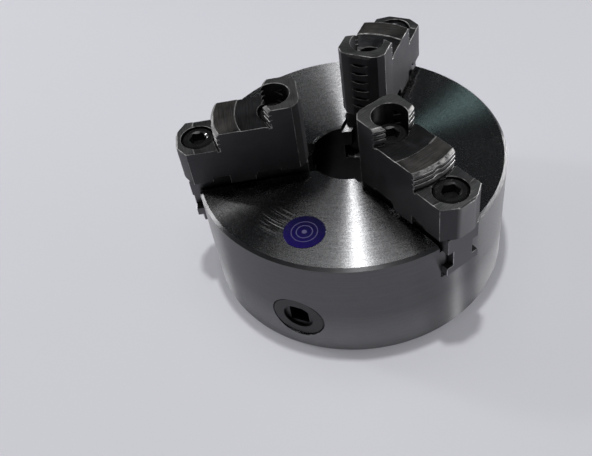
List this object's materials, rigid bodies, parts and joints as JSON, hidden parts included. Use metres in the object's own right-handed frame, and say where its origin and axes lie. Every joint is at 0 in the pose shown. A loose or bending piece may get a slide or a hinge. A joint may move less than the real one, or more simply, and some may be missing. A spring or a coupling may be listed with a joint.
{
  "type": "lathe chuck",
  "caption": "Self-centring scroll lathe chuck with stepped two-piece jaws, driven by a square key through bevel pinions in the rim.",
  "frame": {"origin": "on the spindle axis in the plane of the rear mounting face", "axes": "+Z along the spindle axis out of the jaw face; jaw 1 lies 30 degrees below +X, jaw 2 on +Y, jaw 3 at 210 degrees; pinion 1 faces -Y"},
  "size_m": [0.16, 0.1655, 0.1095],
  "materials": {
    "body_steel": "ground face and turned rim",
    "cover_steel": "turned",
    "scroll_steel": "machined and hardened",
    "pinion_steel": "turned and hardened",
    "base_jaw_steel": "ground and hardened",
    "top_jaw_steel": "hardened black with ground edges",
    "screw_black": "oiled black oxide",
    "label_film": "printed glossy film"
  },
  "bodies": {
    "body": {"chuck_body": "body_steel", "back_cover": "cover_steel", "back_cover_screws": "screw_black", "pinion_retainer_1": "screw_black", "pinion_retainer_2": "screw_black", "pinion_retainer_3": "screw_black", "face_label": "label_film"},
    "scroll": {"scroll_plate": "scroll_steel"},
    "jaw_1": {"master_jaw_1": "base_jaw_steel", "top_jaw_1": "top_jaw_steel", "jaw_screw_inner_1": "screw_black", "jaw_screw_outer_1": "screw_black"},
    "jaw_2": {"master_jaw_2": "base_jaw_steel", "top_jaw_2": "top_jaw_steel", "jaw_screw_inner_2": "screw_black", "jaw_screw_outer_2": "screw_black"},
    "jaw_3": {"master_jaw_3": "base_jaw_steel", "top_jaw_3": "top_jaw_steel", "jaw_screw_inner_3": "screw_black", "jaw_screw_outer_3": "screw_black"},
    "pinion_1_body": {"pinion_1": "pinion_steel"},
    "pinion_2_body": {"pinion_2": "pinion_steel"},
    "pinion_3_body": {"pinion_3": "pinion_steel"}
  },
  "joints": [
    {"name": "scroll_turn", "type": "hinge", "parent": "body", "child": "scroll", "pos_m": [0, 0, 0.04], "axis": [0, 0, 1], "range_deg": [-720, 720]},
    {"name": "jaw_slide_1", "type": "slide", "parent": "body", "child": "jaw_1", "axis": [0.866, -0.5, 0], "range_m": [-0.01601, 0.01601]},
    {"name": "jaw_slide_2", "type": "slide", "parent": "body", "child": "jaw_2", "axis": [0, 1, 0], "range_m": [-0.01601, 0.01601]},
    {"name": "jaw_slide_3", "type": "slide", "parent": "body", "child": "jaw_3", "axis": [-0.866, -0.5, 0], "range_m": [-0.01601, 0.01601]},
    {"name": "pinion_turn_1", "type": "hinge", "parent": "body", "child": "pinion_1_body", "pos_m": [0, -0.06, 0.023], "axis": [0, -1, 0], "range_deg": [-4321, 4321]},
    {"name": "pinion_turn_2", "type": "hinge", "parent": "body", "child": "pinion_2_body", "pos_m": [0.05196, 0.03, 0.023], "axis": [0.866, 0.5, 0], "range_deg": [-4321, 4321]},
    {"name": "pinion_turn_3", "type": "hinge", "parent": "body", "child": "pinion_3_body", "pos_m": [-0.05196, 0.03, 0.023], "axis": [-0.866, 0.5, 0], "range_deg": [-4321, 4321]}
  ],
  "couplings": [
    {"joint": "jaw_slide_1", "follows": "scroll_turn", "m_per_rad": -0.0012732},
    {"joint": "jaw_slide_2", "follows": "scroll_turn", "m_per_rad": -0.0012732},
    {"joint": "jaw_slide_3", "follows": "scroll_turn", "m_per_rad": -0.0012732},
    {"joint": "pinion_turn_1", "follows": "scroll_turn", "ratio": -6},
    {"joint": "pinion_turn_2", "follows": "scroll_turn", "ratio": -6},
    {"joint": "pinion_turn_3", "follows": "scroll_turn", "ratio": -6}
  ]
}
